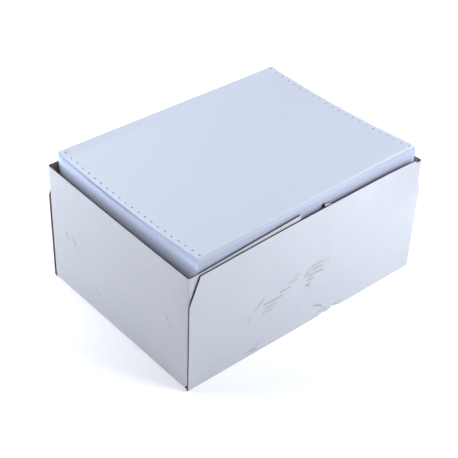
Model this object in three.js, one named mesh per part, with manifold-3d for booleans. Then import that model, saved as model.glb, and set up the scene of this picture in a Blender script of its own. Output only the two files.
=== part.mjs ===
// Continuous computer paper in its feed box.
// Units are millimetres and +Z is up. The origin is the centre of the box's underside.
// +X runs along the long wall, which is the direction of a printed line. The front long wall faces -Y.
// Piece one is the pack of fan-folded forms. Piece two is the box, one folded sheet of board.
import * as THREE from 'three';
import { mergeVertices } from 'three/addons/utils/BufferGeometryUtils.js';
import Module from 'manifold-3d';

const wasm = await Module();
wasm.setup();

// Forms: the size of one folded form and the two rows of feed holes down its sides.
const FORM_WIDTH = 370;
const FORM_LENGTH = 279.4;
const HOLE_PITCH = 12.7;
const HOLES_IN_ROW = Math.round(FORM_LENGTH / HOLE_PITCH);
const HOLE_DIAMETER = 4;
const HOLE_SIDES = 16;
const HOLE_EDGE = 6.35;

// Pack: its height at mid length and how its top swells towards the folds and the right-hand end.
const PACK_HEIGHT = 188.8;
const SWELL_LEFT = 6.4;
const SWELL_RIGHT = 5.2;
const LEAN_LEFT = 1.2;
const LEAN_RIGHT = -0.6;
const RIGHT_END_RISE = 5.6;
const TOP_FOLD_LEFT = 2.8;
const TOP_FOLD_RIGHT = 6.4;
const BOTTOM_FOLD_RADIUS = 1.2;
const BACK_CURL = 3;
const PACK_TURN = 0.007;
const PACK_SHIFT = 1;

// Fits: the pack in the box, and a glue flap behind its long wall.
const END_GAP = 11.4;
const SIDE_GAP = 0.5;
const REST_GAP = 0.3;
const GLUE_GAP = 0.3;

// Box: board, folds and walls. Rises are measured from the top of the end walls.
const BOARD = 2.1;
const END_WALL_HEIGHT = 178;
const FOLD_RADIUS = 3.2;
const CORNER_RADIUS = 3.4;
const CHAMFER_WIDTH = 16;
const CHAMFER_DROP = 43;
const RIM_POINTS = 16;

// Rim of a long wall, from its left end (0) to its right end (1).
const RIM = [
  { at: 0, rise: -3.3 },
  { at: 0.35, rise: 2.6 },
  { at: 0.63, rise: 5.4 },
  { at: 0.86, rise: 7.2 },
  { at: 1, rise: 6.2 },
];

// Rims of the two end walls: rises at the front corner, the middle and the back corner.
const LEFT_RIM = [-1.8, 0.2, 4];
const RIGHT_RIM = [0, 0, 0];

// Glue flaps: they turn in from the end walls and lie inside the long walls, with a space between their ends.
const FLAP_FOOT = 7;
const FLAP_SPACE = 41;
const FLAP_SPACE_CENTRE = -3.5;
const LEFT_FLAP_RISE = 9.9;
const RIGHT_FLAP_RISE = 8.7;
const RIGHT_FLAP_BEND = 20;
const RIGHT_FLAP_BEND_RISE = 2.7;
const GLUE_ROWS = 3;
const GLUE_FIRST = 38;
const GLUE_STEP = 46;
const GLUE_BAND = 10;
const GLUE_INSET = 14;

// Extra length that cutting and joining shapes have past what they cut or join.
const OVERLAP = 1;
const ARC_STEPS = 6;

// The pack is turned, so it needs a little more room than its own length and width.
const packX = FORM_WIDTH * Math.cos(PACK_TURN) + FORM_LENGTH * Math.sin(PACK_TURN);
const packY = FORM_LENGTH * Math.cos(PACK_TURN) + FORM_WIDTH * Math.sin(PACK_TURN);
const halfX = packX / 2 + END_GAP + BOARD;
const halfY = packY / 2 + SIDE_GAP + BOARD + GLUE_GAP + BOARD;
const flapY = halfY - BOARD - GLUE_GAP;
const leftFlapEnd = FLAP_SPACE_CENTRE - FLAP_SPACE / 2;
const rightFlapEnd = FLAP_SPACE_CENTRE + FLAP_SPACE / 2;
const packTop = BOARD + REST_GAP + PACK_HEIGHT;
const cutTop = END_WALL_HEIGHT + packTop;

function toSolid(geometry) {
  geometry.deleteAttribute('normal');
  geometry.deleteAttribute('uv');
  const clean = mergeVertices(geometry, 1e-5);
  const mesh = new wasm.Mesh({
    numProp: 3,
    vertProperties: Float32Array.from(clean.attributes.position.array),
    triVerts: Uint32Array.from(clean.index.array),
  });
  return new wasm.Manifold(mesh);
}

function toGeometry(solid) {
  const mesh = solid.getMesh();
  const geometry = new THREE.BufferGeometry();
  geometry.setAttribute('position', new THREE.BufferAttribute(mesh.vertProperties, 3));
  geometry.setIndex(new THREE.BufferAttribute(mesh.triVerts, 1));
  return geometry;
}

// Corner points of an arc from one angle to another, in degrees.
function arc(cx, cy, radius, from, to) {
  const points = [];
  for (let i = 0; i <= ARC_STEPS; i += 1) {
    const a = THREE.MathUtils.degToRad(from + (to - from) * i / ARC_STEPS);
    points.push([cx + radius * Math.cos(a), cy + radius * Math.sin(a)]);
  }
  return points;
}

function extrude(outline, length) {
  const shape = new THREE.Shape(outline.map(([a, b]) => new THREE.Vector2(a, b)));
  return new THREE.ExtrudeGeometry(shape, { depth: length, bevelEnabled: false, steps: 1 });
}

// A YZ outline drawn out along X.
function alongX(outline, from, to) {
  const geometry = extrude(outline, to - from);
  geometry.applyMatrix4(new THREE.Matrix4().set(0, 0, 1, from, 1, 0, 0, 0, 0, 1, 0, 0, 0, 0, 0, 1));
  return geometry;
}

// An outline given as [z, x] pairs drawn out along Y.
function alongY(outline, from, to) {
  const geometry = extrude(outline, to - from);
  geometry.applyMatrix4(new THREE.Matrix4().set(0, 1, 0, 0, 0, 0, 1, from, 1, 0, 0, 0, 0, 0, 0, 1));
  return geometry;
}

// An XY outline drawn up along Z.
function alongZ(outline, from, to) {
  const geometry = extrude(outline, to - from);
  geometry.translate(0, 0, from);
  return geometry;
}

function block(x0, x1, y0, y1, z0, z1) {
  const geometry = new THREE.BoxGeometry(x1 - x0, y1 - y0, z1 - z0);
  geometry.translate((x0 + x1) / 2, (y0 + y1) / 2, (z0 + z1) / 2);
  return toSolid(geometry);
}

// The pack of forms: rounded where the paper folds (front and back), square where it is cut (left and right).
function makePack() {
  const bottom = BOARD + REST_GAP;
  const y = FORM_LENGTH / 2;
  const top = packTop;
  const outline = [
    ...arc(-y + BOTTOM_FOLD_RADIUS, bottom + BOTTOM_FOLD_RADIUS, BOTTOM_FOLD_RADIUS, 180, 270),
    ...arc(y - BOTTOM_FOLD_RADIUS, bottom + BOTTOM_FOLD_RADIUS, BOTTOM_FOLD_RADIUS, 270, 360),
    ...arc(y - TOP_FOLD_RIGHT, top - TOP_FOLD_RIGHT, TOP_FOLD_RIGHT, 0, 90),
  ];
  for (let i = HOLES_IN_ROW / 2 - 1; i > -HOLES_IN_ROW / 2; i -= 1) {
    outline.push([i * HOLE_PITCH, top]);
  }
  outline.push(...arc(-y + TOP_FOLD_RIGHT, top - TOP_FOLD_RIGHT, TOP_FOLD_RIGHT, 90, 180));

  const geometry = alongX(outline, -FORM_WIDTH / 2, FORM_WIDTH / 2);
  const position = geometry.attributes.position;
  for (let i = 0; i < position.count; i += 1) {
    const across = position.getX(i) / FORM_WIDTH + 0.5;

    // The top folds are drawn at their right-hand radius, and tightened towards the left.
    const inset = y - Math.abs(position.getY(i));
    const drop = top - position.getZ(i);
    if (inset < TOP_FOLD_RIGHT + 1e-6 && drop < TOP_FOLD_RIGHT + 1e-6) {
      const tightness = THREE.MathUtils.lerp(TOP_FOLD_LEFT / TOP_FOLD_RIGHT, 1, across);
      position.setY(i, Math.sign(position.getY(i)) * (y - inset * tightness));
      position.setZ(i, top - drop * tightness);
    }

    const u = position.getY(i) / y;
    const height = (position.getZ(i) - bottom) / (top - bottom);
    const left = SWELL_LEFT * u * u + LEAN_LEFT * u;
    const right = RIGHT_END_RISE + SWELL_RIGHT * u * u + LEAN_RIGHT * u;
    const curl = BACK_CURL * THREE.MathUtils.clamp((position.getY(i) - y) / HOLE_PITCH + 1, 0, 1);
    const rise = THREE.MathUtils.lerp(left, right, across) + curl;
    position.setZ(i, position.getZ(i) + height * rise);
  }

  let pack = toSolid(geometry);
  for (const side of [-1, 1]) {
    for (let i = 0; i < HOLES_IN_ROW; i += 1) {
      const hole = new THREE.CylinderGeometry(HOLE_DIAMETER / 2, HOLE_DIAMETER / 2, cutTop, HOLE_SIDES);
      hole.rotateX(Math.PI / 2);
      hole.translate(side * (FORM_WIDTH / 2 - HOLE_EDGE), (i - (HOLES_IN_ROW - 1) / 2) * HOLE_PITCH, cutTop / 2);
      pack = pack.subtract(toSolid(hole));
    }
  }
  const finished = toGeometry(pack);
  finished.rotateZ(PACK_TURN);
  finished.translate(PACK_SHIFT, 0, 0);
  return finished;
}

// Side view of a wall with its bottom fold: `reach` is the distance from the middle to the wall's outside.
function foldedWall(reach, height) {
  return [
    [-reach + FOLD_RADIUS + OVERLAP, 0],
    [-reach + FOLD_RADIUS + OVERLAP, BOARD],
    ...arc(-reach + FOLD_RADIUS, FOLD_RADIUS, FOLD_RADIUS - BOARD, 270, 180),
    [-reach + BOARD, height],
    [-reach, height],
    ...arc(-reach + FOLD_RADIUS, FOLD_RADIUS, FOLD_RADIUS, 180, 270),
  ];
}

// Front view of a long wall: sloping cut corners and a rim that rises a little along its length.
function longWallOutline() {
  const reach = halfX - CHAMFER_WIDTH;
  const knots = RIM.map(({ at, rise }) => new THREE.Vector2(reach * (2 * at - 1), END_WALL_HEIGHT + rise));
  const rim = new THREE.SplineCurve(knots).getPoints(RIM_POINTS);
  return [
    [-OVERLAP, -halfX],
    [END_WALL_HEIGHT - CHAMFER_DROP, -halfX],
    ...rim.map((p) => [p.y, p.x]),
    [END_WALL_HEIGHT - CHAMFER_DROP, halfX],
    [-OVERLAP, halfX],
  ];
}

// Plan of one end wall with its two flaps, drawn for the left end.
function endWallPlan(flapEnd) {
  const cornerX = -halfX + CORNER_RADIUS;
  const cornerY = flapY - CORNER_RADIUS;
  const inner = CORNER_RADIUS - BOARD;
  return [
    [flapEnd, -flapY + BOARD],
    ...arc(cornerX, -cornerY, inner, 270, 180),
    ...arc(cornerX, cornerY, inner, 180, 90),
    [flapEnd, flapY - BOARD],
    [flapEnd, flapY],
    ...arc(cornerX, cornerY, CORNER_RADIUS, 90, 180),
    ...arc(cornerX, -cornerY, CORNER_RADIUS, 180, 270),
    [flapEnd, -flapY],
  ];
}

// What an end wall and its flaps are cut to, drawn for the left end: the rim of the wall, then each flap.
function endWallBounds(rim, top, flapEnd) {
  const corner = flapY - CORNER_RADIUS;
  const knots = rim.map((rise, i) => new THREE.Vector2((i - 1) * corner, END_WALL_HEIGHT + rise));
  const line = new THREE.SplineCurve(knots).getPoints(RIM_POINTS).map((p) => [p.x, p.y]);
  const wall = [[corner, FLAP_FOOT], ...line.reverse(), [-corner, FLAP_FOOT]];
  let bounds = toSolid(alongX(wall, -halfX - OVERLAP, -halfX + CORNER_RADIUS));
  for (const face of [-1, 1]) {
    const height = END_WALL_HEIGHT + (face === -1 ? rim[0] : rim[rim.length - 1]);
    const flap = [
      [FLAP_FOOT, -halfX - OVERLAP],
      [height, -halfX - OVERLAP],
      [height, -halfX + CORNER_RADIUS],
      ...top,
      [FLAP_FOOT, flapEnd],
    ];
    const from = face === -1 ? -halfY : corner;
    bounds = bounds.add(toSolid(alongY(flap, from, from + halfY - corner)));
  }
  return bounds;
}

function makeTray() {
  let tray = block(-halfX + FOLD_RADIUS, halfX - FOLD_RADIUS, -halfY + FOLD_RADIUS, halfY - FOLD_RADIUS, 0, BOARD);

  const longOutline = toSolid(alongY(longWallOutline(), -halfY - OVERLAP, halfY + OVERLAP));
  for (const side of [-1, 1]) {
    const wall = foldedWall(halfY, cutTop).map(([y, z]) => [-side * y, z]);
    if (side === 1) wall.reverse();
    tray = tray.add(toSolid(alongX(wall, -halfX, halfX)).intersect(longOutline));
  }

  const ends = [
    {
      side: -1,
      rim: LEFT_RIM,
      flapEnd: leftFlapEnd,
      top: [[END_WALL_HEIGHT + LEFT_FLAP_RISE, leftFlapEnd]],
    },
    {
      side: 1,
      rim: RIGHT_RIM,
      flapEnd: -rightFlapEnd,
      top: [
        [END_WALL_HEIGHT + RIGHT_FLAP_BEND_RISE, -rightFlapEnd - RIGHT_FLAP_BEND],
        [END_WALL_HEIGHT + RIGHT_FLAP_RISE, -rightFlapEnd],
      ],
    },
  ];
  for (const { side, rim, flapEnd, top } of ends) {
    const foot = foldedWall(halfX, 2 * FLAP_FOOT).map(([x, z]) => [z, -side * x]);
    const reach = flapY - CORNER_RADIUS;
    const ordered = side === 1 ? foot : foot.slice().reverse();
    tray = tray.add(toSolid(alongY(ordered, -reach, reach)));

    const panel = toSolid(alongZ(endWallPlan(flapEnd), FLAP_FOOT, cutTop));
    const end = panel.intersect(endWallBounds(rim, top, flapEnd));
    tray = tray.add(side === 1 ? end.mirror([1, 0, 0]) : end);

    for (const wallSide of [-1, 1]) {
      for (let row = 0; row < GLUE_ROWS; row += 1) {
        const z = GLUE_FIRST + row * GLUE_STEP;
        const near = side * (halfX - CORNER_RADIUS - GLUE_INSET);
        const far = -side * (flapEnd - GLUE_INSET);
        const x0 = Math.min(near, far);
        const x1 = Math.max(near, far);
        const yMid = wallSide * (halfY - BOARD - GLUE_GAP / 2);
        tray = tray.add(block(x0, x1, yMid - GLUE_GAP, yMid + GLUE_GAP, z - GLUE_BAND / 2, z + GLUE_BAND / 2));
      }
    }
  }
  return toGeometry(tray);
}

const paperMaterial = new THREE.MeshStandardMaterial({ color: 0xd6dcea, roughness: 0.75 });
const boardMaterial = new THREE.MeshStandardMaterial({ color: 0xdcdde6, roughness: 0.7 });

const pack = new THREE.Mesh(makePack(), paperMaterial);
pack.name = 'paper_stack';
const tray = new THREE.Mesh(makeTray(), boardMaterial);
tray.name = 'carton_tray';

const part = new THREE.Group();
part.name = 'computer_paper';
part.add(pack, tray);

export default part;
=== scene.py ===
# %% [markdown]
# # A pack of continuous computer paper in its feed box
# The real object is a tall pack of fan-folded forms, with a row of feed holes down both cut edges,
# standing in an open box of white-lined corrugated board. This lesson rebuilds both round a fixed
# frame: the frame gives the size and place of each part, and every piece made here stays in it.
# Lengths are in metres, +Z is up, and the front long wall of the box faces -Y.

# %% Load the frame
import math
import random

import bmesh
import bpy
from mathutils import Matrix, Vector


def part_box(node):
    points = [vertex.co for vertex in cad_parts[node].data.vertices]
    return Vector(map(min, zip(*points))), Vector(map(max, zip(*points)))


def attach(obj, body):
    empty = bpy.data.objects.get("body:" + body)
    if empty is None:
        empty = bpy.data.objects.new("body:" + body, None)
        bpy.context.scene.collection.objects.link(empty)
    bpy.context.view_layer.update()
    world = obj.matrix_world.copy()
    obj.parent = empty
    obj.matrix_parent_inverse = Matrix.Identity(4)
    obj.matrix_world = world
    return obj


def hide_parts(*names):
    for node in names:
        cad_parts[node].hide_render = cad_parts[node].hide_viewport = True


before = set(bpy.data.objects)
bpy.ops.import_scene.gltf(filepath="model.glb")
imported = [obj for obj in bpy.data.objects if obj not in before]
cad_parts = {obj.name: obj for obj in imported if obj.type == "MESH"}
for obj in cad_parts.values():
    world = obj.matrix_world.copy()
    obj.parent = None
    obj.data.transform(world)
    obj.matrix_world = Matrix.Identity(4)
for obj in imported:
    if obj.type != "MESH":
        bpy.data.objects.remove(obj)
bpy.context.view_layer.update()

MM = 0.001
random.seed(11)

# %% [markdown]
# ## The camera
# A photograph's viewing angle can be worked out from things of known size. The feed holes are 12.7 mm
# apart, so the holes and the corners of the box give the camera's place, its turn and its focal
# length. The three axes below are the camera's right, up and backward directions, and the place is
# where its lens stands.

# %% Camera
AZIMUTH = math.radians(-42.2134)
ELEVATION = math.radians(36.638)
ROLL = math.radians(2.3888)
LENS_PIXELS = 1096.2074
PHOTO_PIXELS = 458
SENSOR_WIDTH = 36
CAMERA_OFFSET = (-5.7406 * MM, 57.7495 * MM, 1537.4423 * MM)

back = Vector((
    math.sin(AZIMUTH) * math.cos(ELEVATION),
    -math.cos(AZIMUTH) * math.cos(ELEVATION),
    math.sin(ELEVATION),
))
level_right = Vector((0, 0, 1)).cross(back).normalized()
level_up = back.cross(level_right)
right = math.cos(ROLL) * level_right + math.sin(ROLL) * level_up
up = math.cos(ROLL) * level_up - math.sin(ROLL) * level_right
place = CAMERA_OFFSET[0] * right + CAMERA_OFFSET[1] * up + CAMERA_OFFSET[2] * back

camera_data = bpy.data.cameras.new("camera")
camera_data.sensor_width = SENSOR_WIDTH
camera_data.lens = SENSOR_WIDTH * LENS_PIXELS / PHOTO_PIXELS
camera = bpy.data.objects.new("camera", camera_data)
bpy.context.collection.objects.link(camera)
turn = Matrix((right, up, back)).transposed().to_4x4()
camera.matrix_world = Matrix.Translation(place) @ turn
bpy.context.scene.camera = camera
bpy.context.scene.view_settings.view_transform = "Standard"
print("camera at", [round(v, 3) for v in place], "lens", round(camera_data.lens, 1), "mm")

# %% [markdown]
# ## Sizes
# These are the sizes of the real parts, in metres. The board is measured from its outside face
# inwards.

# %% Sizes of the pack and the box
FORM_WIDTH = 370 * MM
FORM_LENGTH = 279.4 * MM
HOLE_PITCH = 12.7 * MM
HOLE_RADIUS = 2 * MM
HOLE_EDGE = 6.35 * MM
HOLES_IN_ROW = 22
PACK_HEIGHT = 188.8 * MM
PACK_SHIFT = 1 * MM
BACK_CURL = 3 * MM
PACK_TURN = 0.007
SWELL = (6.4 * MM, 5.2 * MM)
LEAN = (1.2 * MM, -0.6 * MM)
RIGHT_END_RISE = 5.6 * MM
TOP_FOLD_LEFT = 2.8 * MM
TOP_FOLD_RIGHT = 6.4 * MM

BOARD = 2.1 * MM
LINER = 0.4 * MM
GLUE_GAP = 0.3 * MM
REST_GAP = 0.3 * MM
WALL_HEIGHT = 178 * MM
FOLD_RADIUS = 3.2 * MM
CORNER_RADIUS = 3.4 * MM
CHAMFER_WIDTH = 16 * MM
CHAMFER_DROP = 43 * MM
# The rim of a long wall: a share of the way along it, and the height there above WALL_HEIGHT.
LONG_RIM = [(0, -3.3 * MM), (0.35, 2.6 * MM), (0.63, 5.4 * MM), (0.86, 7.2 * MM), (1, 6.2 * MM)]
# The rims of the left (-1) and right (1) end walls: at the front, in the middle and at the back.
END_RIMS = {-1: [-1.8 * MM, 0.2 * MM, 4 * MM], 1: [0, 0, 0]}
FLAP_FOOT = 7 * MM
# The tops of the glue flaps: places along the wall and heights above WALL_HEIGHT.
FLAP_TOPS = {-1: [(-24 * MM, 9.9 * MM)], 1: [(37 * MM, 2.7 * MM), (17 * MM, 8.7 * MM)]}

box_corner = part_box("carton_tray")[1]
HALF_X = box_corner[0]
HALF_Y = box_corner[1]
FLAP_Y = HALF_Y - BOARD - GLUE_GAP
print("box is", round(2 * HALF_X / MM, 1), "by", round(2 * HALF_Y / MM, 1), "mm")

# %% [markdown]
# ## Working by hand, in code
# Modelling by hand is a row of small steps: pick some corners, edges or faces, then extrude, spin,
# cut or move them. These helpers pick by place, so that each later step reads like what a modeller
# would do.

# %% Picking helpers
CLOSE = 0.05 * MM


def nothing_selected():
    """Leave edit mode if it is open, and let go of everything."""
    if bpy.context.mode != "OBJECT":
        bpy.ops.object.mode_set(mode="OBJECT")
    bpy.ops.object.select_all(action="DESELECT")


def only(piece):
    """Make one piece the one that the next operators act on."""
    nothing_selected()
    piece.select_set(True)
    bpy.context.view_layer.objects.active = piece


def edit(piece):
    """Open one piece in edit mode."""
    only(piece)
    bpy.ops.object.mode_set(mode="EDIT")


def done():
    """Close edit mode, which writes the changes to the mesh."""
    bpy.ops.object.mode_set(mode="OBJECT")


def pick(kind, test):
    """Select the corners (VERT), edges (EDGE) or faces (FACE) of the open piece that pass the test."""
    mesh = bpy.context.edit_object.data
    bpy.ops.mesh.select_mode(type=kind)
    bpy.ops.mesh.select_all(action="DESELECT")
    shape = bmesh.from_edit_mesh(mesh)
    items = {"VERT": shape.verts, "EDGE": shape.edges, "FACE": shape.faces}[kind]
    count = 0
    for item in items:
        if test(item):
            item.select_set(True)
            count += 1
    shape.select_flush_mode()
    bmesh.update_edit_mesh(mesh)
    return count


def near(a, b):
    """Whether two lengths are the same to a twentieth of a millimetre."""
    return abs(a - b) < CLOSE


def middle(edge):
    """The point halfway along an edge."""
    return (edge.verts[0].co + edge.verts[1].co) / 2


print("things within", round(CLOSE / MM, 2), "mm count as one place")

# %% Moving and cutting helpers
WELD = 0.01 * MM
FOLD_STEPS = 5


def lift_corners(test, height):
    """Move each corner of the open piece that passes the test to the height worked out for it."""
    mesh = bpy.context.edit_object.data
    shape = bmesh.from_edit_mesh(mesh)
    corners = [v for v in shape.verts if test(v)]
    for v in corners:
        v.co.z = height(v)
    bmesh.update_edit_mesh(mesh)
    return len(corners)


def cut_all(spot, direction):
    """Cut every face of the open piece with a plane through a spot."""
    bpy.ops.mesh.select_all(action="SELECT")
    bpy.ops.mesh.bisect(plane_co=spot, plane_no=direction, use_fill=False)


def extrude_edges(step):
    """Draw the selected edges out by a step, which adds a strip of faces."""
    bpy.ops.mesh.extrude_edges_move(TRANSFORM_OT_translate={"value": step})


def spin_edges(centre, axis, degrees):
    """Turn the selected edges round an axis, which adds a round strip of faces."""
    bpy.ops.mesh.spin(steps=FOLD_STEPS, angle=math.radians(degrees), center=centre, axis=axis)


def finish_modifier(piece, name):
    """Turn what a modifier shows into real faces."""
    only(piece)
    bpy.ops.object.modifier_apply(modifier=name)


print("each fold is made in", FOLD_STEPS, "steps")

# %% [markdown]
# ## The rim lines
# The walls are not cut quite straight: the rim of a long wall rises a little to the right, the left
# end wall sags towards the front, and the top corners of the long walls are cut off on a slope. A
# smooth curve through a few measured heights gives each rim, and the wall and the flutes inside it
# share one line.

# %% Rim lines
def smooth_between(p0, p1, p2, p3, t):
    """The smooth curve through p1 and p2 that also looks at their neighbours."""
    v0 = (p2 - p0) / 2
    v1 = (p3 - p1) / 2
    cubed = 2 * p1 - 2 * p2 + v0 + v1
    squared = -3 * p1 + 3 * p2 - 2 * v0 - v1
    return cubed * t ** 3 + squared * t ** 2 + v0 * t + p1


def curve_through(knots, count=16):
    """Points of a smooth line through the knots, each a place along the wall and a height."""
    points = []
    for i in range(count + 1):
        along = i / count * (len(knots) - 1)
        k = min(int(along), len(knots) - 2)
        span = [knots[max(k - 1, 0)], knots[k], knots[k + 1], knots[min(k + 2, len(knots) - 1)]]
        points.append(tuple(smooth_between(*[p[axis] for p in span], along - k) for axis in (0, 1)))
    return points


def on_line(points, at):
    """The height of a line of points at one place."""
    for (a0, z0), (a1, z1) in zip(points, points[1:]):
        if at <= a1 + 1e-9:
            return z0 + (z1 - z0) * max(at - a0, 0) / (a1 - a0)
    return points[-1][1]


REACH = HALF_X - CHAMFER_WIDTH
CORNER_Y = FLAP_Y - CORNER_RADIUS
RIM = curve_through([(REACH * (2 * at - 1), WALL_HEIGHT + rise) for at, rise in LONG_RIM])
END_RIM = {}
for side, rises in END_RIMS.items():
    knots = [(i * CORNER_Y, WALL_HEIGHT + rise) for i, rise in zip((-1, 0, 1), rises)]
    END_RIM[side] = curve_through(knots)


def rim_height(x):
    """Height of the long wall's top at x, with the sloping corners."""
    if abs(x) > REACH:
        end = RIM[0][1] if x < 0 else RIM[-1][1]
        foot = WALL_HEIGHT - CHAMFER_DROP
        return foot + (end - foot) * (HALF_X - abs(x)) / CHAMFER_WIDTH
    return on_line(RIM, x)


print("rim from", round(RIM[0][1] / MM, 1), "to", round(RIM[-1][1] / MM, 1), "mm high")

# %% [markdown]
# ## The box, folded from one sheet
# The real box is one die-cut sheet of board. So it is modelled as one sheet too: a flat wall is the
# start, its lower edge is spun round to make the fold, and the floor grows out of the fold. A mirror
# gives the other half. The end walls are spun up out of the floor in the same way, and the glue flaps
# out of the end walls. Only then does the sheet get its thickness. Another way would be five boxes
# joined together, but then no fold would be round and no edge would show that the board is one piece.

# %% Front wall, its fold and half the floor
# Each dent: its place along the wall, its width, and how far it is pushed in and up.
DENTS = [(32 * MM, 5 * MM, 1.6 * MM), (53 * MM, 7 * MM, 3.4 * MM)]
DENT_CUTS = [x * MM for x in (20, 25, 28, 31, 34, 38, 42, 46, 49, 52, 55, 59, 63, 68)]
DENT_REACH = 18 * MM
DENT_PUSH = 0.6
DENT_FADE = 0.3

nothing_selected()
bpy.ops.mesh.primitive_plane_add(size=1)
feed_box = bpy.context.object
feed_box.name = "feed_box"
edit(feed_box)
bpy.ops.mesh.select_all(action="SELECT")
bpy.ops.transform.resize(value=(2 * HALF_X, 1, 1))
for upper, z in ((False, FOLD_RADIUS), (True, WALL_HEIGHT - CHAMFER_DROP)):
    pick("VERT", lambda v: (v.co.y > 0) == upper)
    level = 0.5 if upper else -0.5
    bpy.ops.transform.translate(value=(0, -HALF_Y - level, z))
pick("EDGE", lambda e: middle(e).z > WALL_HEIGHT / 2 and near(middle(e).x, 0))
extrude_edges((0, 0, CHAMFER_DROP))
bpy.ops.transform.resize(value=(REACH / HALF_X, 1, 1), center_override=(0, 0, 0))
FLOOR_REACH = HALF_X - FOLD_RADIUS
for x in sorted([x for x, _ in RIM[1:-1]] + DENT_CUTS + [-FLOOR_REACH, FLOOR_REACH]):
    cut_all((x, 0, 0), (1, 0, 0))
for z in (DENT_REACH / 2, DENT_REACH):
    cut_all((0, 0, z), (0, 0, 1))
pick("EDGE", lambda e: near(e.verts[0].co.z, FOLD_RADIUS) and near(e.verts[1].co.z, FOLD_RADIUS))
spin_edges((0, -HALF_Y + FOLD_RADIUS, FOLD_RADIUS), (1, 0, 0), -90)
pick("EDGE", lambda e: near(middle(e).z, 0) and near(middle(e).y, -HALF_Y + FOLD_RADIUS)
     and abs(middle(e).x) < FLOOR_REACH)
extrude_edges((0, HALF_Y - FLAP_Y + CORNER_RADIUS - FOLD_RADIUS, 0))
extrude_edges((0, CORNER_Y, 0))
done()
print("half sheet:", len(feed_box.data.vertices), "corners")

# %% Rim heights, then the other half
edit(feed_box)
lifted = lift_corners(lambda v: v.co.z > WALL_HEIGHT - CHAMFER_DROP + MM, lambda v: rim_height(v.co.x))
done()
mirror = feed_box.modifiers.new("other_half", "MIRROR")
mirror.use_axis = (False, True, False)
mirror.merge_threshold = WELD
finish_modifier(feed_box, "other_half")
print("rim corners set:", lifted, "whole sheet:", len(feed_box.data.vertices), "corners")

# %% [markdown]
# The end walls grow out of the short edges of the floor, between the corner slits. Each one stops at
# the height where the glue flaps begin, so that the flaps can leave it there without pulling on the
# floor.

# %% End walls and glue flaps
END_CUTS = 8

edit(feed_box)
for side in (-1, 1):
    wall_x = side * HALF_X
    pick("EDGE", lambda e: near(middle(e).x, wall_x - side * FOLD_RADIUS) and near(middle(e).z, 0)
         and abs(middle(e).y) < CORNER_Y and len(e.link_faces) == 1)
    spin_edges((wall_x - side * FOLD_RADIUS, 0, FOLD_RADIUS), (0, 1, 0), 90 * side)
    extrude_edges((0, 0, FLAP_FOOT - FOLD_RADIUS))
    extrude_edges((0, 0, WALL_HEIGHT - FLAP_FOOT))
    for i in range(1 - END_CUTS, END_CUTS):
        cut_all((0, CORNER_Y * i / END_CUTS, 0), (0, 1, 0))
    lift_corners(lambda v: near(v.co.x, wall_x) and near(v.co.z, WALL_HEIGHT),
                 lambda v: on_line(END_RIM[side], v.co.y))
    for face in (-1, 1):
        corner = (side * (HALF_X - CORNER_RADIUS), face * CORNER_Y, 0)
        pick("EDGE", lambda e: near(middle(e).x, wall_x) and near(middle(e).y, corner[1])
             and middle(e).z > FLAP_FOOT + MM)
        spin_edges(corner, (0, 0, 1), -90 * side * face)
        before = (corner[0], END_RIMS[side][face + 1])
        for x, rise in FLAP_TOPS[side]:
            extrude_edges((x - before[0], 0, 0))
            change = rise - before[1]
            lift_corners(lambda v: v.select and v.co.z > WALL_HEIGHT / 2, lambda v: v.co.z + change)
            before = (x, rise)
done()
only(feed_box)
sheet_size = [round(v / MM, 1) for v in feed_box.dimensions]
print("sheet:", len(feed_box.data.polygons), "faces,", sheet_size, "mm")

# %% [markdown]
# The front bottom fold of the real box has been knocked in two places: it is pushed in and up there.
# A few corners of the fold are moved, most in the middle of a dent and least at its ends.

# %% A dent in the front bottom fold
edit(feed_box)
shape = bmesh.from_edit_mesh(feed_box.data)
moved = 0
for v in shape.verts:
    if v.co.y < -HALF_Y + FOLD_RADIUS + MM and v.co.z < DENT_REACH - MM:
        fade = 1 if v.co.z < FOLD_RADIUS + MM else DENT_FADE
        lift = fade * sum(height * math.exp(-((v.co.x - x) / width) ** 2) for x, width, height in DENTS)
        v.co.y += DENT_PUSH * lift
        v.co.z += lift
        moved += lift > 0.1 * MM
bmesh.update_edit_mesh(feed_box.data)
done()
print("dent moved", moved, "corners")

# %% [markdown]
# ## Thickness, and the raw edges
# Corrugated board is two smooth liners with a waved sheet glued between them. Seen from outside it is
# just a thick sheet, so the Solidify modifier gives the thickness, and puts the white liner outside,
# the brown liner inside and the raw cut on the rims. Where a raw edge is in view it is then hollowed
# between the liners, and a waved sheet is set into the hollow. The cut edge of the outer liner stays
# white, as in the real board.

# %% Give the sheet its thickness
OUTSIDE, INSIDE, RAW = 0, 1, 2
for name in ("white_liner", "brown_liner", "raw_board"):
    feed_box.data.materials.append(bpy.data.materials.new(name))
edit(feed_box)
bpy.ops.mesh.select_all(action="SELECT")
bpy.ops.mesh.normals_make_consistent(inside=False)
done()
thickness = feed_box.modifiers.new("thickness", "SOLIDIFY")
thickness.thickness = BOARD
thickness.offset = -1
thickness.use_even_offset = True
thickness.material_offset = INSIDE
thickness.material_offset_rim = RAW
finish_modifier(feed_box, "thickness")
print("board:", len(feed_box.data.polygons), "faces")

# %% Hollow the raw edges between the liners
HOLLOW = 3 * MM


def raw_in_view(face):
    """Whether a face is a raw cut above the bottom corners."""
    return face.material_index == RAW and face.calc_center_median().z > 2 * FLAP_FOOT


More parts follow.
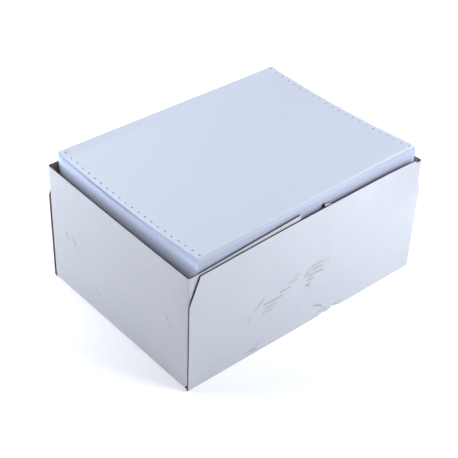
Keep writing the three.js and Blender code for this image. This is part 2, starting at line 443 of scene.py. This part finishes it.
edit(feed_box)
found = pick("FACE", raw_in_view)
bpy.ops.mesh.inset(thickness=LINER, depth=0, use_boundary=True, use_even_offset=True)
bpy.ops.mesh.extrude_region_shrink_fatten(
    MESH_OT_extrude_region={"use_normal_flip": False},
    TRANSFORM_OT_shrink_fatten={"value": -HOLLOW, "use_even_offset": True},
)
shape = bmesh.from_edit_mesh(feed_box.data)
white_cut = []
for face in shape.faces:
    beside = {other.material_index for e in face.edges for other in e.link_faces}
    if raw_in_view(face) and OUTSIDE in beside:
        white_cut.append(face)
for face in white_cut:
    face.material_index = OUTSIDE
bmesh.update_edit_mesh(feed_box.data)
done()
print("hollowed", found, "raw faces, the white liner shows on", len(white_cut))

# %% [markdown]
# One flute is shaped from a small plane, and the Array modifier repeats it along the wall, as the
# corrugating rollers do. Each corner at the top of a wave is then brought to just under the rim.

# %% One waved sheet
FLUTE_PITCH = 6.2 * MM
FLUTE_PAPER = 0.22 * MM
FLUTE_SUNK = 0.25 * MM
FLUTE_SLACK = 0.04 * MM
FLUTE_HALF = (BOARD - 2 * LINER - FLUTE_PAPER) / 2 - FLUTE_SLACK
FLUTE_STEPS = 10


def waved_strip(name, length, depth):
    """A waved sheet that runs along X from 0, stands `depth` tall below z = 0, and waves along Y."""
    nothing_selected()
    bpy.ops.mesh.primitive_plane_add(size=1, rotation=(math.pi / 2, 0, 0))
    strip = bpy.context.object
    strip.name = name
    bpy.ops.object.transform_apply(rotation=True)
    edit(strip)
    bpy.ops.mesh.select_all(action="SELECT")
    bpy.ops.transform.resize(value=(FLUTE_PITCH, 1, depth))
    bpy.ops.transform.translate(value=(FLUTE_PITCH / 2, 0, -depth / 2))
    for i in range(1, FLUTE_STEPS):
        cut_all((i * FLUTE_PITCH / FLUTE_STEPS, 0, 0), (1, 0, 0))
    done()
    for v in strip.data.vertices:
        v.co.y = FLUTE_HALF * math.sin(2 * math.pi * v.co.x / FLUTE_PITCH)
    row = strip.modifiers.new("row", "ARRAY")
    row.count = int(length / FLUTE_PITCH)
    row.use_merge_vertices = True
    row.merge_threshold = WELD
    finish_modifier(strip, "row")
    return strip


def thicken(strip):
    """Give a waved sheet the thickness of its paper."""
    paper = strip.modifiers.new("paper", "SOLIDIFY")
    paper.thickness = FLUTE_PAPER
    paper.offset = 0
    finish_modifier(strip, "paper")
    strip.data.materials.append(bpy.data.materials["raw_board"])


print("one flute:", round(FLUTE_PITCH / MM, 1), "mm long,", round(2 * FLUTE_HALF / MM, 2), "mm deep")

# %% Flutes in the long walls
FLUTE_RUN = 2 * HALF_X - 2 * FLUTE_PITCH / 3
FLUTE_FOOT = HOLLOW + 0.2 * MM

flutes = []
for side, name in ((-1, "flutes_front_wall"), (1, "flutes_back_wall")):
    strip = waved_strip(name, FLUTE_RUN, HOLLOW + MM)
    start = -max(v.co.x for v in strip.data.vertices) / 2
    for v in strip.data.vertices:
        x = v.co.x + start
        z = rim_height(x) - (FLUTE_SUNK if v.co.z > -MM else FLUTE_FOOT)
        v.co = (x, v.co.y + side * (HALF_Y - BOARD / 2), z)
    thicken(strip)
    flutes.append(strip)
print("flutes:", [len(f.data.polygons) for f in flutes])

# %% [markdown]
# ## The pack of forms
# About two thousand thin sheets, folded to and fro. Nobody models two thousand sheets: the pack is
# one block, and what shows that it is paper is that the folds are round, the top swells towards them,
# and the sheets at the cut ends don't lie quite flush. So the block is cut into many thin layers, and
# each layer slips a little.

# %% A block with round folds
PACK_LOW = BOARD + REST_GAP
PACK_TOP = PACK_LOW + PACK_HEIGHT
BOTTOM_FOLD = 1.2 * MM
TOP_FOLD_STEPS = 8
BOTTOM_FOLD_STEPS = 2

nothing_selected()
bpy.ops.mesh.primitive_cube_add(size=1, location=(0, 0, 0))
pack = bpy.context.object
pack.name = "forms_pack"
edit(pack)
bpy.ops.mesh.select_all(action="SELECT")
bpy.ops.transform.resize(value=(FORM_WIDTH, FORM_LENGTH, PACK_HEIGHT))
bpy.ops.transform.translate(value=(0, 0, PACK_LOW + PACK_HEIGHT / 2))
folds = [(PACK_TOP, TOP_FOLD_RIGHT, TOP_FOLD_STEPS), (PACK_LOW, BOTTOM_FOLD, BOTTOM_FOLD_STEPS)]
for z, radius, steps in folds:
    pick("EDGE", lambda e: near(middle(e).z, z) and near(middle(e).x, 0))
    bpy.ops.mesh.bevel(offset=radius, segments=steps, affect="EDGES")
done()
print("block:", len(pack.data.polygons), "faces")

# %% Cut it into layers, and across for the swell
TOP_SHEETS = 0.4 * MM
STEP_IN = 0.1 * MM
FIRST_LAYER = 1.1 * MM
FINE_PART = 60 * MM
LOWEST_LAYER = 6 * MM
# Thinnest and thickest layer, in millimetres, near the top and deeper down.
FINE_LAYERS = (0.8, 2.2)
DEEP_LAYERS = (5, 9)
CUTS_ACROSS = 16

layer_cuts = [PACK_TOP - TOP_SHEETS, PACK_TOP - TOP_SHEETS - STEP_IN]
below = TOP_SHEETS + FIRST_LAYER
while below < PACK_HEIGHT - LOWEST_LAYER:
    layer_cuts.append(PACK_TOP - below)
    thinnest, thickest = FINE_LAYERS if below < FINE_PART else DEEP_LAYERS
    below += random.uniform(thinnest, thickest) * MM
edit(pack)
for z in layer_cuts:
    cut_all((0, 0, z), (0, 0, 1))
for i in range(-HOLES_IN_ROW + 1, HOLES_IN_ROW):
    cut_all((0, i * HOLE_PITCH / 2, 0), (0, 1, 0))
for i in range(1, CUTS_ACROSS):
    cut_all((FORM_WIDTH * (i / CUTS_ACROSS - 0.5), 0, 0), (1, 0, 0))
done()
print("layers:", len(layer_cuts), "faces:", len(pack.data.polygons))

# %% [markdown]
# Each layer slips by its own small amount, the top sheets stand out past the rest, and towards the
# back they lie apart from it. A little table of slips by height is enough, because a layer's corners
# all share one height.

# %% How far each layer slips
OVERHANG = 0.7 * MM
# Least and most slip, in millimetres, at the cut ends and at the folds.
END_SLIPS = (-0.14, 0.1)
FOLD_SLIPS = (-0.12, 0.08)

slips = {}
for z in layer_cuts[1:]:
    end_slip = random.uniform(*END_SLIPS) * MM - OVERHANG
    fold_slip = random.uniform(*FOLD_SLIPS) * MM
    slips[round(z / MM, 3)] = (end_slip, fold_slip)
slips[round(PACK_LOW / MM, 3)] = (-OVERHANG, 0)
# How far the top sheets lie apart, at shares of the form's length from its middle.
LIFT_PLACES = [-0.5, -0.15, 0.1, 0.28, 0.4, 0.5]
LIFT_DEPTHS = [0, 0.1 * MM, 1.2 * MM, 3.0 * MM, 3.6 * MM, 0.8 * MM]
LIFT_REACH = 26 * MM


def between(places, values, at):
    """The value at a place on a line drawn through the given places."""
    for (p0, v0), (p1, v1) in zip(zip(places, values), zip(places[1:], values[1:])):
        if at <= p1:
            return v0 + (v1 - v0) * max(at - p0, 0) / (p1 - p0)
    return values[-1]


def top_bundle(y, z):
    """The top sheets lie apart from the rest as a thin bundle, thickest towards the back."""
    under = PACK_TOP - TOP_SHEETS + 0.01 * MM - z
    if under < 0 or under > LIFT_REACH:
        return z
    return z - between(LIFT_PLACES, LIFT_DEPTHS, y / FORM_LENGTH) * (1 - under / LIFT_REACH)


print("slips:", len(slips))

# %% [markdown]
# Folds don't press as flat as paper does, so the top sags between the two folds, and more sheets were
# folded loosely at the right-hand end. The last fold at the back curls up. These are plain sums of a
# point's place.

# %% How the top swells
def top_rise(across, u, curl):
    """How far the top is raised, `across` the forms from 0 to 1 and along them (u) from -1 to 1."""
    left = SWELL[0] * u * u + LEAN[0] * u
    right_end = RIGHT_END_RISE + SWELL[1] * u * u + LEAN[1] * u
    return left + (right_end - left) * across + curl * BACK_CURL


def swell(x, y, z):
    """How far a point of the pack is raised: nothing at the bottom, all of the swell at the top."""
    curl = min(max((y - FORM_LENGTH / 2) / HOLE_PITCH + 1, 0), 1)
    return top_rise(x / FORM_WIDTH + 0.5, 2 * y / FORM_LENGTH, curl) * (z - PACK_LOW) / PACK_HEIGHT


def tighter(x, y, z):
    """The top folds are wide at the right-hand end and tighter towards the left."""
    inset = FORM_LENGTH / 2 - abs(y)
    drop = PACK_TOP - z
    if inset > TOP_FOLD_RIGHT + 0.001 * MM or drop > TOP_FOLD_RIGHT + 0.001 * MM:
        return y, z
    tightness = 1 - (1 - TOP_FOLD_LEFT / TOP_FOLD_RIGHT) * (0.5 - x / FORM_WIDTH)
    return math.copysign(FORM_LENGTH / 2 - inset * tightness, y), PACK_TOP - drop * tightness


front_rises = [round(top_rise(across, -1, 0) / MM, 1) for across in (0, 1)]
print("the top rises", front_rises, "mm at the front corners")

# %% Move the corners, then turn the pack
for v in pack.data.vertices:
    x, y, z = v.co
    slip = slips.get(round(z / MM, 3), (0, 0))
    if near(abs(x), FORM_WIDTH / 2):
        x += math.copysign(slip[0], x)
    if near(abs(y), FORM_LENGTH / 2):
        y += math.copysign(slip[1], y)
    y, z = tighter(x, y, z)
    z = top_bundle(y, z)
    v.co = (x, y, z + swell(x, y, z))
pack.rotation_euler = (0, 0, PACK_TURN)
pack.location = (PACK_SHIFT, 0, 0)
only(pack)
bpy.ops.object.transform_apply(location=True, rotation=True)
print("pack:", [round(v / MM, 1) for v in pack.dimensions], "mm")

# %% [markdown]
# The printer's pins pull the paper by its feed holes, so they lie exactly under each other and go
# through the whole pack. One round bar is made and copied to each place, and all the bars are taken
# out at once.

# %% The bars
BAR_SIDES = 24

nothing_selected()
bpy.ops.mesh.primitive_cylinder_add(vertices=BAR_SIDES, radius=HOLE_RADIUS, depth=PACK_TOP * 2,
                                    location=(0, 0, PACK_TOP))
bar = bpy.context.object
pack_turn = Matrix.Rotation(PACK_TURN, 3, "Z")
bars = []
for side in (-1, 1):
    for i in range(HOLES_IN_ROW):
        one = bar.copy()
        one.data = bar.data.copy()
        bpy.context.collection.objects.link(one)
        along = (i - (HOLES_IN_ROW - 1) / 2) * HOLE_PITCH
        spot = Vector((side * (FORM_WIDTH / 2 - HOLE_EDGE), along, PACK_TOP))
        one.location = pack_turn @ spot + Vector((PACK_SHIFT, 0, 0))
        bars.append(one)
bpy.data.objects.remove(bar)
print("bars:", len(bars))

# %% Punch the feed holes
nothing_selected()
for one in bars:
    one.select_set(True)
bpy.context.view_layer.objects.active = bars[0]
bpy.ops.object.join()
cutter = bpy.context.object
bpy.ops.object.transform_apply(location=True, rotation=True, scale=True)
cutter.data.materials.append(bpy.data.materials.new("punched_edge"))
pack.data.materials.append(bpy.data.materials.new("paper"))
punch = pack.modifiers.new("feed_holes", "BOOLEAN")
punch.operation = "DIFFERENCE"
punch.solver = "EXACT"
punch.material_mode = "TRANSFER"
punch.object = cutter
finish_modifier(pack, "feed_holes")
bpy.data.objects.remove(cutter)
print("punched", len(bars), "holes,", len(pack.data.polygons), "faces")

# %% [markdown]
# Faces that meet at a small angle are shaded as one round surface, and those that meet at a larger
# one keep a sharp edge. Then each piece is hung on the root of the frame, and the frame's own box and
# pack are hidden.

# %% Smooth the folds and hang the pieces on the root
FOLD_ANGLE = 35
WAVE_ANGLE = 50

angles = [(pack, FOLD_ANGLE), (feed_box, FOLD_ANGLE)] + [(strip, WAVE_ANGLE) for strip in flutes]
for piece, degrees in angles:
    only(piece)
    bpy.ops.object.shade_smooth_by_angle(angle=math.radians(degrees))
for piece in [feed_box] + flutes:
    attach(piece, "root")
    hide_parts("carton_tray")
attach(pack, "root")
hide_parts("paper_stack")
print("pieces:", [piece.name for piece in [pack, feed_box] + flutes])

# %% [markdown]
# ## A short way to write finishes
# A finish is a small sum worked out at every point of a surface. Wrapping each value in a class that
# knows how to add and multiply lets the sum be read as one, while Blender still gets its nodes.
# Writing every node out would also work, but a page of links is hard to read.

# %% Values
class Value:
    """One number or colour that changes over a surface."""

    def __init__(self, recipe, socket):
        self.recipe = recipe
        self.socket = socket

    def sum(self, operation, *others):
        """Add one Math node that works on this value and the others."""
        values = {0: self}
        values.update({i + 1: other for i, other in enumerate(others)})
        return self.recipe.add("ShaderNodeMath", {"operation": operation}, values)

    def __add__(self, other):
        return self.sum("ADD", other)

    __radd__ = __add__

    def __mul__(self, other):
        return self.sum("MULTIPLY", other)

    __rmul__ = __mul__

    def __sub__(self, other):
        return self.sum("SUBTRACT", other)

    def __rsub__(self, other):
        return self.recipe.add("ShaderNodeMath", {"operation": "SUBTRACT"}, {0: other, 1: self})

    def __truediv__(self, other):
        return self.sum("DIVIDE", other)

    def __abs__(self):
        return self.sum("ABSOLUTE")

    def sin(self):
        return self.sum("SINE")

    def min(self, other):
        return self.sum("MINIMUM", other)

    def max(self, other):
        return self.sum("MAXIMUM", other)

    def step(self, start, end):
        """0 below start and 1 above end, with a soft change between (start may be the larger)."""
        inputs = {"Value": self, "From Min": start, "From Max": end}
        return self.recipe.add("ShaderNodeMapRange", {"interpolation_type": "SMOOTHSTEP"}, inputs)


print("values ready")

# %% [markdown]
# A recipe holds one material. It starts with the place of each point on the object, in metres, so a
# pattern stays where it is when the piece moves.

# %% Recipes
class Recipe:
    """A material and the few calls that fill it."""

    def __init__(self, name):
        self.material = bpy.data.materials.get(name) or bpy.data.materials.new(name)
        self.material.use_nodes = True
        self.tree = self.material.node_tree
        self.shader = self.tree.nodes["Principled BSDF"]
        self.place = self.add("ShaderNodeTexCoord", output="Object")
        self.x, self.y, self.z = self.parts(self.place)

    def add(self, kind, settings=None, inputs=None, output=0):
        """Add a node, set it up, fill its sockets, and hand back one of its outputs."""
        node = self.tree.nodes.new(kind)
        for key, value in (settings or {}).items():
            setattr(node, key, value)
        for key, value in (inputs or {}).items():
            self.feed(node.inputs[key], value)
        return Value(self, node.outputs[output])

    def feed(self, socket, value):
        """Link a value to a socket, or write a plain number or colour into it."""
        if isinstance(value, Value):
            self.tree.links.new(value.socket, socket)
        else:
            socket.default_value = value

    def parts(self, vector):
        """The three numbers of a vector, each a value of its own."""
        split = self.add("ShaderNodeSeparateXYZ", inputs={0: vector}).socket.node
        return [Value(self, split.outputs[i]) for i in range(3)]

    def normal(self):
        """Which way the surface faces, as three numbers."""
        geometry = self.add("ShaderNodeNewGeometry", output="Normal")
        return self.parts(geometry)

    def noise(self, scale, stretch=(1, 1, 1), detail=3, rough=0.5):
        """Cloudy noise from 0 to 1, `scale` clouds to a metre."""
        size = [scale * k for k in stretch]
        vector = self.add("ShaderNodeMapping", inputs={"Vector": self.place, "Scale": size})
        inputs = {"Vector": vector, "Scale": 1.0, "Detail": detail, "Roughness": rough}
        return self.add("ShaderNodeTexNoise", inputs=inputs)

    def mix(self, factor, first, second):
        """The first colour where the factor is 0 and the second where it is 1."""
        inputs = {0: factor, 6: first, 7: second}
        return self.add("ShaderNodeMix", {"data_type": "RGBA"}, inputs, output=2)

    def bump(self, height, distance):
        """Let the light see small bumps, where height 1 stands up by the distance."""
        inputs = {"Height": height, "Distance": distance, "Strength": 1.0}
        self.finish(Normal=self.add("ShaderNodeBump", inputs=inputs))

    def finish(self, **sockets):
        """Fill sockets of the shader, named with _ for a space."""
        for name, value in sockets.items():
            self.feed(self.shader.inputs[name.replace("_", " ")], value)


def shade(red, green, blue):
    """A colour, as shares of light from 0 to 1."""
    return (red, green, blue, 1)


print("recipes ready")

# %% [markdown]
# ## Paper
# Uncoated printing paper is matt and very slightly cloudy, because its fibres clump. The stacked
# edges of the sheets show as fine level lines, which must not appear on the top, so they are masked
# by which way the surface faces. How deep a point lies under the curved top is worked out with the
# same sum that shaped it.

# %% Depth below the top sheet
def depth_in_pack(recipe):
    """How deep each point lies below the top sheet, which is not flat."""
    curl = ((recipe.y - FORM_LENGTH / 2) / HOLE_PITCH + 1).max(0.0).min(1.0)
    rise = top_rise(recipe.x / FORM_WIDTH + 0.5, recipe.y * (2 / FORM_LENGTH), curl)
    return rise + PACK_TOP - recipe.z


paper = Recipe("paper")
facing = paper.normal()
depth = depth_in_pack(paper)
print("depth is measured from", round(PACK_TOP / MM, 1), "mm up")

# %% The top sheet, with a painted highlight along its rims
CUT_END = FORM_WIDTH / 2
RIM_HIGHLIGHT_STARTS = CUT_END - 4 * MM
RIM_HIGHLIGHT_IS_FULL = CUT_END - 1.5 * MM

clouds = paper.noise(160, detail=5)
grain = paper.noise(2600, detail=2)
# Painted highlight: a lighter strip along each cut end of the top.
painted_rim_highlight = abs(paper.x - PACK_SHIFT).step(RIM_HIGHLIGHT_STARTS, RIM_HIGHLIGHT_IS_FULL)
top_colour = paper.mix(clouds, shade(0.576, 0.624, 0.692), shade(0.598, 0.642, 0.703))
top_colour = paper.mix(painted_rim_highlight * 0.8, top_colour, shade(0.62, 0.676, 0.757))
print("lighter rims from", round(RIM_HIGHLIGHT_STARTS / MM, 1), "mm out")

# %% [markdown]
# The long sides show the folds. They are painted darker than the top, as painted shade, and the
# topmost folds at the near end are painted lighter, as a painted highlight.

# %% The folded sides
edges = 1 - abs(facing[2]).step(0.58, 0.96)
lines = paper.noise(1, stretch=(9, 9, 1500), detail=2, rough=0.7)
bands = paper.noise(1, stretch=(3, 3, 170), detail=2)
edge_mix = (lines * 0.6 + bands * 0.6).step(0.3, 0.9)
# Painted shade: the folded sides are darker than the top.
fold_colour = paper.mix(edge_mix, shade(0.285, 0.313, 0.405), shade(0.341, 0.367, 0.445))
# Painted highlight on the topmost folds, fading out towards the right-hand end.
upper = depth.step(11 * MM, 2 * MM) * paper.x.step(0.16, 0.02)
fold_colour = paper.mix(upper, fold_colour, shade(0.376, 0.405, 0.49))
print("fold finish uses", len(paper.tree.nodes), "nodes so far")

# %% [markdown]
# At the cut ends the top edges are painted darker and the edges further down painted lighter: painted
# shade and painted light for how light falls into the gap by the wall. Just under the top sheets runs a
# painted shadow line, the darkest line of all. It fades at the near corner, where the sheets lie flat,
# and a little at the far one.

# %% The cut ends of the pack
# Painted shade near the top of the cut ends, painted light further down.
painted_light_below = depth.step(2 * MM, 15 * MM)
painted_shade_top_edges = paper.mix(edge_mix, shade(0.385, 0.445, 0.595), shade(0.463, 0.527, 0.66))
painted_light_lower_edges = paper.mix(edge_mix, shade(0.59, 0.68, 0.885), shade(0.66, 0.75, 0.94))
cut_colour = paper.mix(painted_light_below, painted_shade_top_edges, painted_light_lower_edges)
# A painted shadow line just under the top sheets, strongest where they lie apart from the rest.
painted_shadow_line = depth.step(0.3 * MM, 0.8 * MM) * depth.step(5.5 * MM, 2.8 * MM)
lifted = paper.y.step(-0.3 * FORM_LENGTH, 0.05 * FORM_LENGTH)
lifted = lifted * (0.4 + paper.y.step(0.5 * FORM_LENGTH, 0.15 * FORM_LENGTH) * 0.6)
cut_colour = paper.mix(painted_shadow_line * lifted * 0.8, cut_colour, shade(0.22, 0.26, 0.385))
edge_colour = paper.mix(abs(facing[0]).step(0.5, 0.8), fold_colour, cut_colour)
paper_colour = paper.mix(edges, top_colour, edge_colour)
paper.finish(Base_Color=paper_colour, Roughness=0.68, Specular_IOR_Level=0.35)
paper.bump(grain * 0.15 + edges * (lines * 1.4 + bands * 0.8), 0.16 * MM)
print("paper finish uses", len(paper.tree.nodes), "nodes")

# %% [markdown]
# The wall of a feed hole has a faint painted glow near the top, most at the left-hand end, and the glow
# is gone two millimetres down: painted light for the light that reaches into the holes. Without it the
# small holes would look like black dots.

# %% Inside the feed holes
punched = Recipe("punched_edge")
fuzz = punched.noise(2600, detail=2)
# Painted light: the hole walls glow near the top, more at the left.
lit_side = 1.2 - punched.x.step(-0.1, 0.1) * 0.45
painted_glow = depth_in_pack(punched).step(1.9 * MM, 1.0 * MM) * lit_side
punched.finish(
    Base_Color=punched.mix(fuzz, shade(0.52, 0.56, 0.63), shade(0.60, 0.64, 0.70)),
    Roughness=0.8,
    Emission_Color=punched.mix(painted_glow, shade(0.08, 0.087, 0.1), shade(0.54, 0.59, 0.69)),
    Emission_Strength=0.5,
)
print("paper finishes:", [material.name for material in pack.data.materials])

# %% [markdown]
# ## Board
# The outside is a smooth white liner over the flutes, so it has a very faint washboard look and a few
# grey scuffs where it was dragged. The inside is plain brown liner with loose fibres, with painted
# shade at the ends of the long walls. The raw edge is painted dark, as painted shade for the light lost
# in its hollows. The near corner fold has a painted highlight, and the far top corner of the front wall
# and the flap behind its right end are painted greyer, as painted shade.

# %% White liner
# How much of a face's direction points one way: no mask below the first, all of it above the second.
FACES_ON = (0.6, 0.9)

white = Recipe("white_liner")
facing = white.normal()
clouds = white.noise(45, detail=4)
speck = white.noise(900, detail=3)
grain = white.noise(2200, detail=2)
on_long_wall = abs(facing[1]).step(*FACES_ON)
flute_turn = 2 * math.pi / FLUTE_PITCH
long_wall_waves = (white.x * flute_turn).sin()
end_wall_waves = (white.z * flute_turn).sin()
washboard = on_long_wall * long_wall_waves + (1 - on_long_wall) * end_wall_waves
colour = white.mix(clouds, shade(0.394, 0.412, 0.441), shade(0.435, 0.451, 0.473))
colour = white.mix(speck.step(0.62, 0.8) * 0.25, colour, shade(0.37, 0.38, 0.41))
print("liner starts with", len(white.tree.nodes), "nodes")

# %% Painted shade and light on the white liner
to_left = 0 - facing[0]
to_front = 0 - facing[1]
front_mask = to_front.step(*FACES_ON)
left_mask = to_left.step(*FACES_ON)
# Painted shade on the flap that stands just behind the right end of the front wall.
set_back = (white.y + HALF_Y).step(MM, 1.8 * MM)
painted_shade_behind_wall = set_back * to_front.step(0.2, 0.6) * white.x.step(0.0, 10 * MM)
colour = white.mix(painted_shade_behind_wall * 0.45, colour, shade(0.26, 0.265, 0.31))
# Painted highlight on the near corner fold, which faces the dim side.
painted_light_fold = to_left.step(0.15, 0.5) * to_front.step(0.15, 0.5)
colour = white.mix(painted_light_fold, colour, shade(0.60, 0.62, 0.65))
# Painted shade: the far top corner of the front wall is greyer.
painted_shade_far_corner = white.x.step(0.08, HALF_X) * white.z.step(0.09, WALL_HEIGHT) * front_mask
colour = white.mix(painted_shade_far_corner * 0.7, colour, shade(0.32, 0.328, 0.345))
print("with painted_light_and_shade it has", len(white.tree.nodes), "nodes")

# %% [markdown]
# Scuffs and smudges are short soft strokes. Each is written as its width in millimetres, its strength
# and the points it runs through on the wall, along it and up from the floor. Noise breaks the strokes
# up.

# %% Where the scuffs are
FRONT_SCUFFS = [
    (2.4, 0.6, [(33, 94.5), (20, 96.5)]),
    (3.2, 0.7, [(19, 97.5), (3, 98.5), (-4, 93.5), (-9, 85.5)]),
    (6.5, 0.45, [(13, 94.5), (3, 93.5), (-4, 88)]),
    (2.7, 1.0, [(21, 90.5), (6, 91)]),
    (2.7, 1.0, [(24, 82.5), (8, 84.1), (-3, 83.5)]),
    (2.4, 1.0, [(5, 77.5), (-5, 77.5)]),
    (2.8, 1.3, [(0, 70.5), (-7, 69.5)]),
    (2.1, 0.7, [(3, 65.5), (-2, 65.5)]),
    (2.6, 0.65, [(-21, 97.5), (-27, 95.5)]),
    (2.4, 0.7, [(-25, 90.5), (-39, 90)]),
    (2.4, 1.0, [(-36, 83.5), (-52, 82.5)]),
    (2.3, 1.0, [(-49, 76.1), (-64, 75.5), (-80, 76.5)]),
    (2.1, 0.8, [(-59, 69.5), (-63, 69.5), (-77, 69)]),
    (2.6, 0.8, [(-81, 87.5), (-85, 81.5), (-96, 74.5)]),
    (2.1, 0.7, [(-66, 62.5), (-81, 63.5)]),
    (2.6, 0.7, [(-103, 67.5), (-105, 63.5)]),
    (2.2, 1.4, [(11, 26.1), (19, 24.5), (29, 16.5)]),
    (2.2, 1.2, [(35, 11.2), (23, 10.1)]),
    (2.2, 0.7, [(-107, 9.3), (-98.7, 9.6)]),
    (2.6, 1.2, [(-98.7, 9.6), (-89, 8.8)]),
    (1.8, 0.9, [(-89.1, 14.3), (-85, 15.1)]),
]
LEFT_SMUDGES = [
    (7.0, 0.5, [(108, 93.8), (105.5, 87.4)]),
    (7.0, 0.5, [(94, 92.9), (88.2, 86.1)]),
    (1.8, 0.7, [(45.3, 40.5), (45.2, 34)]),
    (2.4, 0.6, [(40, 37), (38.4, 34.6)]),
    (4.2, 0.4, [(33.5, 35), (32.5, 34.6)]),
    (2.2, 0.5, [(-100, 99), (-102.9, 95.2)]),
    (2.4, 0.9, [(-103, 93.5), (-104.5, 89.5)]),
    (2.4, 0.5, [(-109, 81.5), (-110.5, 81)]),
]
print("scuffs:", len(FRONT_SCUFFS), "smudges:", len(LEFT_SMUDGES))


# %% Scuffs on the white liner
def stroke(along, height, start, end, width):
    """1 on a straight stroke between two points of a wall, in millimetres, and 0 away from it."""
    length = math.dist(start, end)
    dx = (end[0] - start[0]) / length
    dz = (end[1] - start[1]) / length
    a = along - start[0] * MM
    b = height - start[1] * MM
    run = a * dx + b * dz
    beside = abs(a * dz - b * dx)
    past = (0 - run).max(run - length * MM).max(0.0)
    return (beside + past).step(width * MM, 0.2 * width * MM)


def marks(along, height, strokes):
    """The darkest of a list of strokes, each given as its width, its strength and its points."""
    total = None
    for width, strength, points in strokes:
        for start, end in zip(points, points[1:]):
            one = stroke(along, height, start, end, width) * strength
            total = one if total is None else total.max(one)
    return total


front_scuffs = marks(white.x, white.z, FRONT_SCUFFS) * front_mask
left_smudges = marks(white.y, white.z, LEFT_SMUDGES) * left_mask
scuffs = front_scuffs.max(left_smudges)
scuffs = (scuffs * white.noise(420, detail=4).step(0.25, 0.55)).min(1.0)
colour = white.mix(scuffs * 0.75, colour, shade(0.22, 0.23, 0.235))
white.finish(Base_Color=colour, Roughness=0.52, Specular_IOR_Level=0.4)
white.bump(grain * 0.2 + washboard * 0.1 - scuffs * 0.5, 0.08 * MM)
print("white liner uses", len(white.tree.nodes), "nodes")

# %% Brown liner and raw board
brown = Recipe("brown_liner")
fibres = brown.noise(380, stretch=(1, 1, 0.35), detail=5)
blotch = brown.noise(60, detail=3)
colour = brown.mix(fibres, shade(0.47, 0.32, 0.23), shade(0.61, 0.44, 0.325))
colour = brown.mix(blotch * 0.4, colour, shade(0.48, 0.345, 0.25))
# Painted shade: the brown liner is much darker at the ends of the long walls, in the corners.
in_corner = abs(brown.x).step(HALF_X - 7 * MM, HALF_X - 4 * MM)
painted_corner_shade = abs(brown.normal()[1]).step(*FACES_ON) * in_corner
colour = brown.mix(painted_corner_shade * (0.65 + blotch * 0.4), colour, shade(0.10, 0.09, 0.085))
brown.finish(Base_Color=colour, Roughness=0.85)
brown.bump(fibres, 0.1 * MM)

raw = Recipe("raw_board")
torn = raw.noise(700, detail=4)
# Painted shade: the raw edge is dark, for the light lost in its hollows.
raw_colour = raw.mix(torn, shade(0.064, 0.058, 0.06), shade(0.136, 0.124, 0.125))
raw.finish(Base_Color=raw_colour, Roughness=0.9)
raw.bump(torn, 0.2 * MM)
print("board finishes:", [material.name for material in feed_box.data.materials])

# %% [markdown]
# ## Floor and light
# The photograph was taken in a white tent: soft light from both sides and above, and a white floor
# that throws light back up. The side towards the camera is the dimmest, so the near corner of the box
# is the darkest. The lamps light only the middle of the floor, so further out it has a light of its
# own and stays pale.

# %% Floor
FLOOR_SIZE = 60
GLOW_STARTS = 0.5 ** 2
GLOW_IS_FULL = 1.0 ** 2

nothing_selected()
bpy.ops.mesh.primitive_plane_add(size=FLOOR_SIZE, location=(0, 0, 0))
floor = bpy.context.object
floor.name = "floor"
floor_finish = Recipe("floor_white")
distance_squared = floor_finish.x * floor_finish.x + floor_finish.y * floor_finish.y
far = distance_squared.step(GLOW_STARTS, GLOW_IS_FULL)
floor_finish.finish(
    Base_Color=shade(0.92, 0.92, 0.93),
    Roughness=0.9,
    Emission_Color=floor_finish.mix(far, shade(0.18, 0.176, 0.169), shade(0.82, 0.81, 0.80)),
    Emission_Strength=1,
)
floor.data.materials.append(floor_finish.material)
print("floor is", FLOOR_SIZE, "m wide")

# %% [markdown]
# The air of the tent gives only a trace of light, because the lamps do the work. Seen directly, past
# the far edge of the floor, it is as pale as the floor, so a low view has no dark horizon.

# %% The air round the scene
TENT_COLOUR = (0.888, 0.916, 1.0)
TRACE = 0.03

world = bpy.context.scene.world or bpy.data.worlds.new("world")
bpy.context.scene.world = world
world.use_nodes = True
air = world.node_tree.nodes
links = world.node_tree.links
trace = air["Background"]
trace.inputs["Color"].default_value = (*TENT_COLOUR, 1)
trace.inputs["Strength"].default_value = TRACE
seen = air.new("ShaderNodeBackground")
seen.inputs["Color"].default_value = shade(0.87, 0.865, 0.855)
either = air.new("ShaderNodeMixShader")
links.new(air.new("ShaderNodeLightPath").outputs["Is Camera Ray"], either.inputs[0])
links.new(trace.outputs[0], either.inputs[1])
links.new(seen.outputs[0], either.inputs[2])
links.new(either.outputs[0], air["World Output"].inputs["Surface"])
print("air strength", TRACE)

# %% Lamps
PANEL_SIZE = 0.6
AIM = Vector((0, 0, 0.12))
# Each panel of the tent: its name, its place in metres and its power in watts.
PANELS = [
    ("tent_far_left", (-0.75, 0.65, 0.35), 7.0),
    ("tent_left", (-0.75, 0.55, 0.94), 6.2),
    ("tent_right", (0.75, -0.65, 0.35), 5.6),
    ("tent_front", (0.5, -1.0, 0.8), 15.8),
    ("tent_back", (0.1, 1.0, 0.9), 8.0),
]
for name, spot, power in PANELS:
    data = bpy.data.lights.new(name, "AREA")
    data.shape = "SQUARE"
    data.size = PANEL_SIZE
    data.energy = power
    data.color = TENT_COLOUR
    lamp = bpy.data.objects.new(name, data)
    bpy.context.collection.objects.link(lamp)
    lamp.location = spot
    lamp.visible_camera = False
    lamp.rotation_euler = (AIM - Vector(spot)).to_track_quat("-Z", "Y").to_euler()
print("lamps:", [name for name, _, _ in PANELS])
